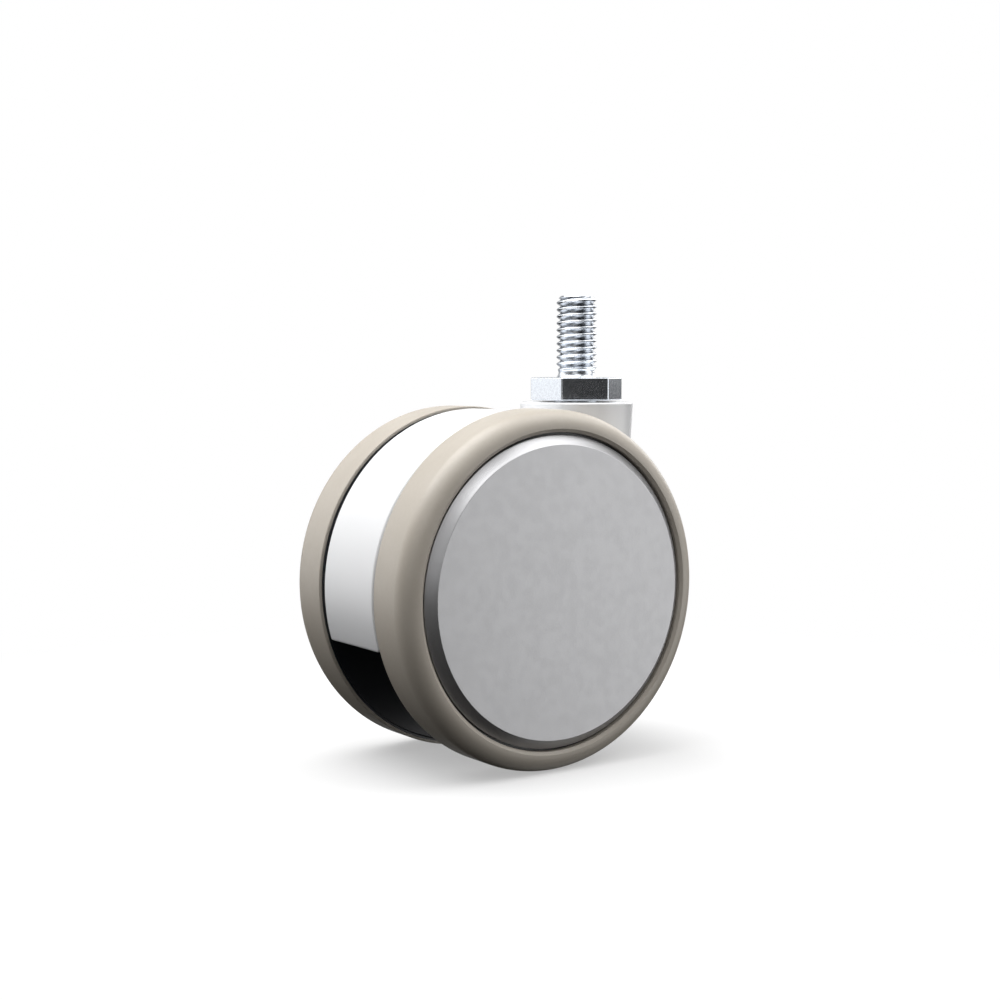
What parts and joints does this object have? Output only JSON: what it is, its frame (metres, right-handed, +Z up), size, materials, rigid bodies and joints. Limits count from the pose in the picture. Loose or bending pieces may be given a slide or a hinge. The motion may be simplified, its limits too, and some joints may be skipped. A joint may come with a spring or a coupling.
{
  "type": "swivel castor",
  "caption": "Swivel castor with twin wheels under a rounded hood and an upright threaded stem above a hexagon collar.",
  "frame": {"origin": "middle of the collar's top face, on the swivel axis", "axes": "+Z up the stem, +X the way the castor rolls with the axle trailing behind the stem, +Y to its left along the axle"},
  "size_m": [0.08, 0.0498, 0.1058],
  "materials": {
    "zinc_plated_steel": "bright zinc plating",
    "bearing_steel": "ground",
    "spring_steel": "dark phosphated",
    "white_nylon": "gloss",
    "black_nylon": "gloss",
    "pale_bush_plastic": "plain moulded",
    "taupe_tyre": "satin",
    "silver_cap": "satin silver"
  },
  "bodies": {
    "stem": {"threaded_stem": "zinc_plated_steel", "swivel_bearing_inner_ring": "bearing_steel", "thrust_washer": "zinc_plated_steel", "stem_retaining_clip": "spring_steel"},
    "swivel_balls": {"swivel_bearing_balls": "bearing_steel", "swivel_bearing_cage": "black_nylon"},
    "fork": {"hood": "white_nylon", "swivel_bearing_outer_ring": "bearing_steel", "swivel_bush": "pale_bush_plastic", "axle": "bearing_steel", "left_bearing_inner_ring": "bearing_steel", "left_axle_clip": "spring_steel", "right_bearing_inner_ring": "bearing_steel", "right_axle_clip": "spring_steel"},
    "left_wheel": {"left_tyre": "taupe_tyre", "left_wheel_core": "black_nylon", "left_cap": "silver_cap", "left_bearing_outer_ring": "bearing_steel"},
    "left_balls": {"left_bearing_balls": "bearing_steel", "left_bearing_cage": "black_nylon"},
    "right_wheel": {"right_tyre": "taupe_tyre", "right_wheel_core": "black_nylon", "right_cap": "silver_cap", "right_bearing_outer_ring": "bearing_steel"},
    "right_balls": {"right_bearing_balls": "bearing_steel", "right_bearing_cage": "black_nylon"}
  },
  "joints": [
    {"name": "swivel", "type": "hinge", "parent": "stem", "child": "fork", "pos_m": [0, 0, -0.00925], "axis": [0, 0, 1], "continuous": true},
    {"name": "swivel_cage", "type": "hinge", "parent": "stem", "child": "swivel_balls", "pos_m": [0, 0, -0.00925], "axis": [0, 0, 1], "continuous": true},
    {"name": "left_wheel_spin", "type": "hinge", "parent": "fork", "child": "left_wheel", "pos_m": [-0.023, 0.0168, -0.0467], "axis": [0, 1, 0], "continuous": true},
    {"name": "left_cage_spin", "type": "hinge", "parent": "fork", "child": "left_balls", "pos_m": [-0.023, 0.0168, -0.0467], "axis": [0, 1, 0], "continuous": true},
    {"name": "right_wheel_spin", "type": "hinge", "parent": "fork", "child": "right_wheel", "pos_m": [-0.023, -0.0168, -0.0467], "axis": [0, 1, 0], "continuous": true},
    {"name": "right_cage_spin", "type": "hinge", "parent": "fork", "child": "right_balls", "pos_m": [-0.023, -0.0168, -0.0467], "axis": [0, 1, 0], "continuous": true}
  ],
  "couplings": [
    {"joint": "swivel_cage", "follows": "swivel", "ratio": 0.59158},
    {"joint": "left_cage_spin", "follows": "left_wheel_spin", "ratio": 0.6323},
    {"joint": "right_cage_spin", "follows": "right_wheel_spin", "ratio": 0.6323}
  ]
}
